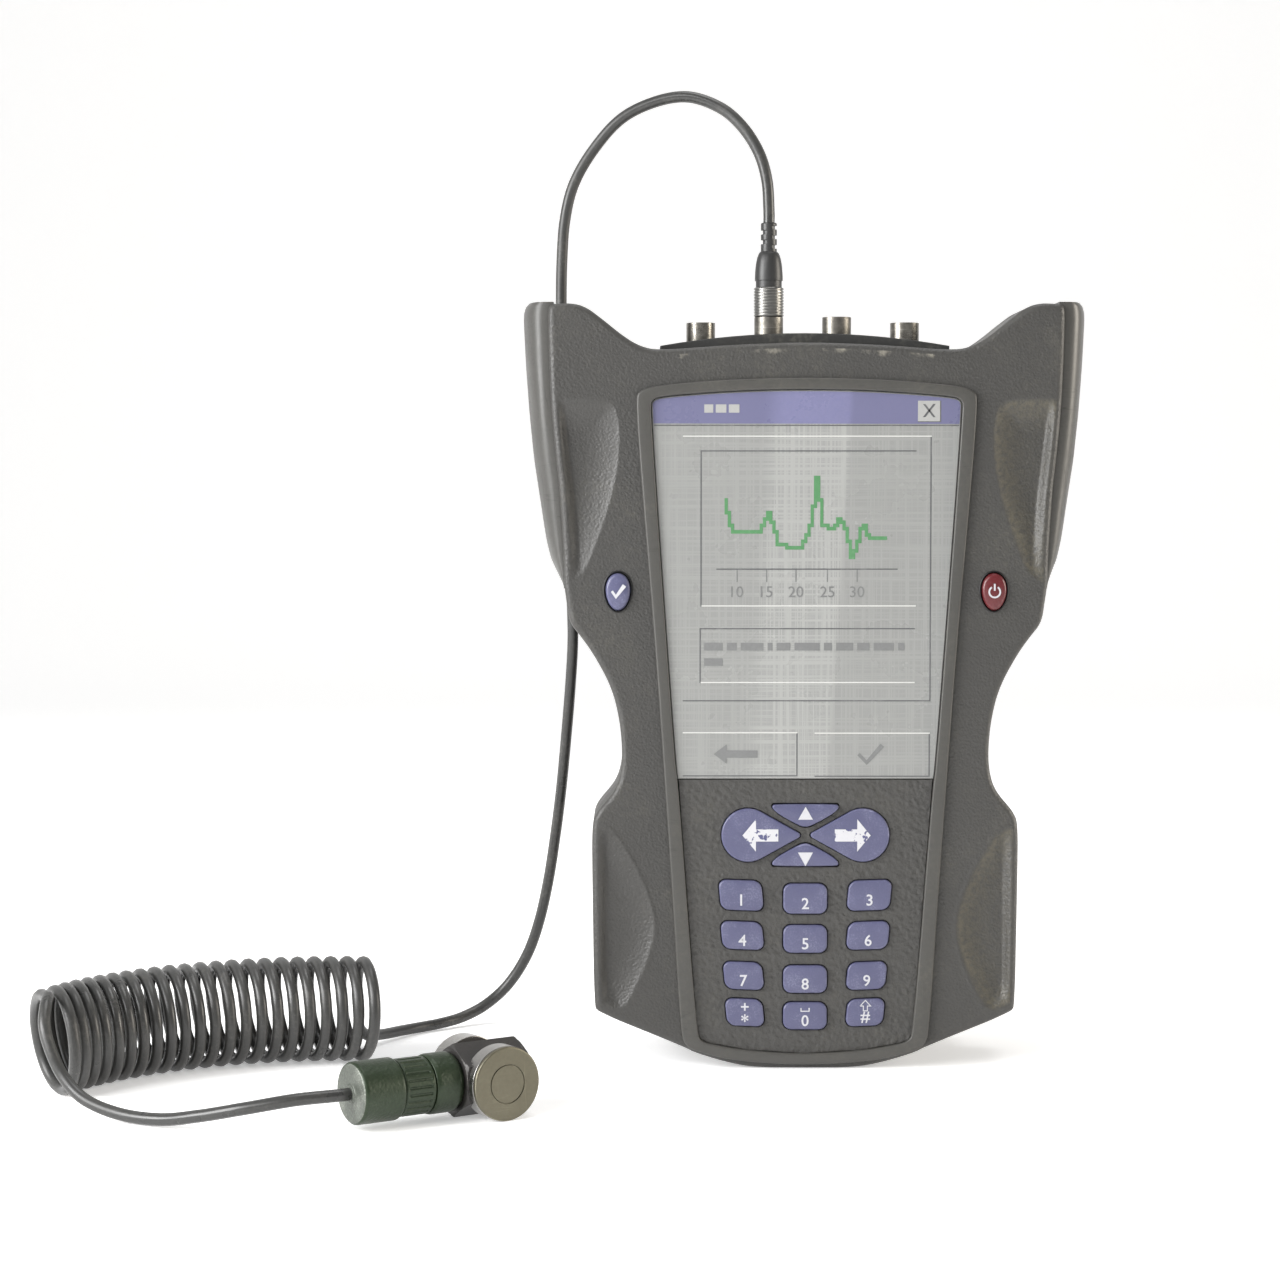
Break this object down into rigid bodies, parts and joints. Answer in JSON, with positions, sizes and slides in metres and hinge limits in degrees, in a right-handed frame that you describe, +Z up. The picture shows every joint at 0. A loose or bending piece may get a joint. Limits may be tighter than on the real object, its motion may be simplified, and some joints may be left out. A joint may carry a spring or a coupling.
{
  "type": "vibration sensor",
  "caption": "Handheld vibration analyser with screen and keypad, a plug-in curly lead and a side-exit accelerometer, standing upright.",
  "frame": {"origin": "on the surface it stands on, under the middle of the handset's base, on the plane where its two mouldings meet", "axes": "+X to the right seen from the screen side, +Y from the screen to the back, +Z up"},
  "size_m": [0.2555, 0.1418, 0.2429],
  "materials": {
    "case_front": "dark warm grey, fine leathery grain, worn edges",
    "case_back": "dark warm grey, fine leathery grain",
    "bumper": "smooth, half gloss, long scratches",
    "bezel": "smooth grey with pale worn edges",
    "window": "clear, smudged",
    "keypad_plate": "dark warm grey, coarse grain",
    "lcd": "pale grey display",
    "membrane": "matte",
    "board": "green solder resist",
    "steel": "plain",
    "switches": "black",
    "battery": "blue shrink sleeve",
    "battery_cover": "dark grey",
    "panel": "black",
    "socket_metal": "worn nickel",
    "insulator": "black",
    "gasket": "black",
    "key_blue": "violet blue with worn white marks",
    "key_red": "dark red with a white power sign",
    "pin_gold": "gold plated",
    "sleeve_metal": "dark grey, ringed",
    "boot_rubber": "black",
    "cord": "dark grey, half gloss",
    "olive": "rough olive green",
    "hex_dark": "matte dark",
    "silver": "satin",
    "disc": "beige grey",
    "ceramic": "piezo ceramic",
    "brass_insert": "plain"
  },
  "bodies": {
    "handset": {"front_case": "case_front", "back_case": "case_back", "left_bumper": "bumper", "right_bumper": "bumper", "bezel_frame": "bezel", "screen_window": "window", "keypad_plate": "keypad_plate", "lcd_panel": "lcd", "keypad_membrane": "membrane", "main_board": "board", "board_screws": "steel", "side_switches": "switches", "battery_pack": "battery", "battery_cover": "battery_cover", "battery_cover_screws": "steel", "case_screws": "steel", "connector_panel": "panel", "socket_1": "socket_metal", "socket_2": "socket_metal", "socket_3": "socket_metal", "socket_4": "socket_metal", "socket_nuts": "socket_metal", "socket_inserts": "insulator", "button_gaskets": "gasket", "plug_nose": "socket_metal", "plug_pins": "pin_gold", "plug_boot": "boot_rubber", "cord_lead": "cord", "cord_coil": "cord", "cord_tail": "cord", "hex_body": "hex_dark", "near_cap": "silver", "far_cap": "silver", "end_disc": "disc", "sensing_element": "ceramic", "seismic_mass": "steel", "clamp_bolt": "steel", "connector_barrel": "olive", "connector_insert": "brass_insert", "connector_backshell": "olive"},
    "ok_button": {"ok_button": "key_blue"},
    "power_button": {"power_button": "key_red"},
    "key_up": {"key_up": "key_blue"},
    "key_down": {"key_down": "key_blue"},
    "key_left": {"key_left": "key_blue"},
    "key_right": {"key_right": "key_blue"},
    "key_1": {"key_1": "key_blue"},
    "key_2": {"key_2": "key_blue"},
    "key_3": {"key_3": "key_blue"},
    "key_4": {"key_4": "key_blue"},
    "key_5": {"key_5": "key_blue"},
    "key_6": {"key_6": "key_blue"},
    "key_7": {"key_7": "key_blue"},
    "key_8": {"key_8": "key_blue"},
    "key_9": {"key_9": "key_blue"},
    "key_star": {"key_star": "key_blue"},
    "key_0": {"key_0": "key_blue"},
    "key_hash": {"key_hash": "key_blue"},
    "latch_sleeve": {"latch_sleeve": "sleeve_metal"},
    "coupling_ring": {"coupling_ring": "olive"}
  },
  "joints": [
    {"name": "ok_button_press", "type": "slide", "parent": "handset", "child": "ok_button", "axis": [0, 1, 0], "range_m": [0, 0.0008], "stiffness_N_per_m": 600},
    {"name": "power_button_press", "type": "slide", "parent": "handset", "child": "power_button", "axis": [0, 1, 0], "range_m": [0, 0.0008], "stiffness_N_per_m": 600},
    {"name": "key_up_press", "type": "slide", "parent": "handset", "child": "key_up", "axis": [0, 1, 0], "range_m": [0, 0.0008], "stiffness_N_per_m": 600},
    {"name": "key_down_press", "type": "slide", "parent": "handset", "child": "key_down", "axis": [0, 1, 0], "range_m": [0, 0.0008], "stiffness_N_per_m": 600},
    {"name": "key_left_press", "type": "slide", "parent": "handset", "child": "key_left", "axis": [0, 1, 0], "range_m": [0, 0.0008], "stiffness_N_per_m": 600},
    {"name": "key_right_press", "type": "slide", "parent": "handset", "child": "key_right", "axis": [0, 1, 0], "range_m": [0, 0.0008], "stiffness_N_per_m": 600},
    {"name": "key_1_press", "type": "slide", "parent": "handset", "child": "key_1", "axis": [0, 1, 0], "range_m": [0, 0.0008], "stiffness_N_per_m": 600},
    {"name": "key_2_press", "type": "slide", "parent": "handset", "child": "key_2", "axis": [0, 1, 0], "range_m": [0, 0.0008], "stiffness_N_per_m": 600},
    {"name": "key_3_press", "type": "slide", "parent": "handset", "child": "key_3", "axis": [0, 1, 0], "range_m": [0, 0.0008], "stiffness_N_per_m": 600},
    {"name": "key_4_press", "type": "slide", "parent": "handset", "child": "key_4", "axis": [0, 1, 0], "range_m": [0, 0.0008], "stiffness_N_per_m": 600},
    {"name": "key_5_press", "type": "slide", "parent": "handset", "child": "key_5", "axis": [0, 1, 0], "range_m": [0, 0.0008], "stiffness_N_per_m": 600},
    {"name": "key_6_press", "type": "slide", "parent": "handset", "child": "key_6", "axis": [0, 1, 0], "range_m": [0, 0.0008], "stiffness_N_per_m": 600},
    {"name": "key_7_press", "type": "slide", "parent": "handset", "child": "key_7", "axis": [0, 1, 0], "range_m": [0, 0.0008], "stiffness_N_per_m": 600},
    {"name": "key_8_press", "type": "slide", "parent": "handset", "child": "key_8", "axis": [0, 1, 0], "range_m": [0, 0.0008], "stiffness_N_per_m": 600},
    {"name": "key_9_press", "type": "slide", "parent": "handset", "child": "key_9", "axis": [0, 1, 0], "range_m": [0, 0.0008], "stiffness_N_per_m": 600},
    {"name": "key_star_press", "type": "slide", "parent": "handset", "child": "key_star", "axis": [0, 1, 0], "range_m": [0, 0.0008], "stiffness_N_per_m": 600},
    {"name": "key_0_press", "type": "slide", "parent": "handset", "child": "key_0", "axis": [0, 1, 0], "range_m": [0, 0.0008], "stiffness_N_per_m": 600},
    {"name": "key_hash_press", "type": "slide", "parent": "handset", "child": "key_hash", "axis": [0, 1, 0], "range_m": [0, 0.0008], "stiffness_N_per_m": 600},
    {"name": "latch_sleeve_pull", "type": "slide", "parent": "handset", "child": "latch_sleeve", "axis": [0, 0, 1], "range_m": [0, 0.0015], "stiffness_N_per_m": 900},
    {"name": "coupling_ring_turn", "type": "hinge", "parent": "handset", "child": "coupling_ring", "pos_m": [-0.093, -0.08513, 0.0085], "axis": [-0.829, -0.5592, 0], "continuous": true}
  ]
}
